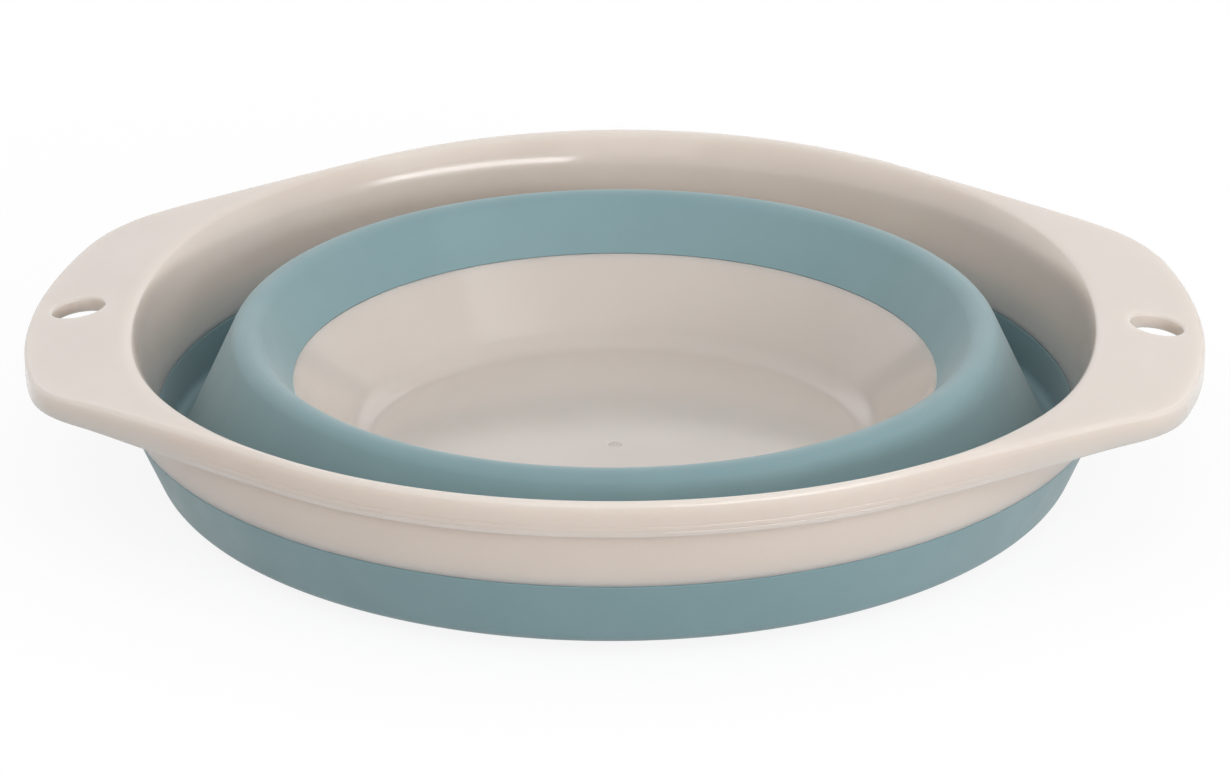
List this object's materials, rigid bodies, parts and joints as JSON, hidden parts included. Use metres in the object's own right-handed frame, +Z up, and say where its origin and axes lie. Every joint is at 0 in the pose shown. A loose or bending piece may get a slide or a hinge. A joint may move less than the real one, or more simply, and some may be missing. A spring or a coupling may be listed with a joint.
{
  "type": "collapsible bowl",
  "caption": "Round collapsible bowl with a rigid flanged rim and flat carrying handles with hang holes, a soft folding wall that opens to a deep bowl, and a rigid shallow base dish",
  "frame": {"origin": "on the table, under the middle of the bowl", "axes": "+Z is up, out of the bowl's mouth and the way the rim moves as the bowl opens; +X runs from the middle to one handle; +Y completes the right-handed frame"},
  "size_m": [0.298, 0.253, 0.0436],
  "materials": {
    "hard_plastic": "satin",
    "soft_wall": "matte"
  },
  "bodies": {
    "base": {"base_dish": "hard_plastic", "inner_wall_band": "soft_wall", "folding_wall_band": "soft_wall"},
    "rim": {"rim_with_handles": "hard_plastic", "outer_wall_band": "soft_wall"}
  },
  "joints": [
    {"name": "unfold", "type": "slide", "parent": "base", "child": "rim", "axis": [0, 0, 1], "range_m": [0, 0.0652], "deforming": ["folding_wall_band"]}
  ]
}
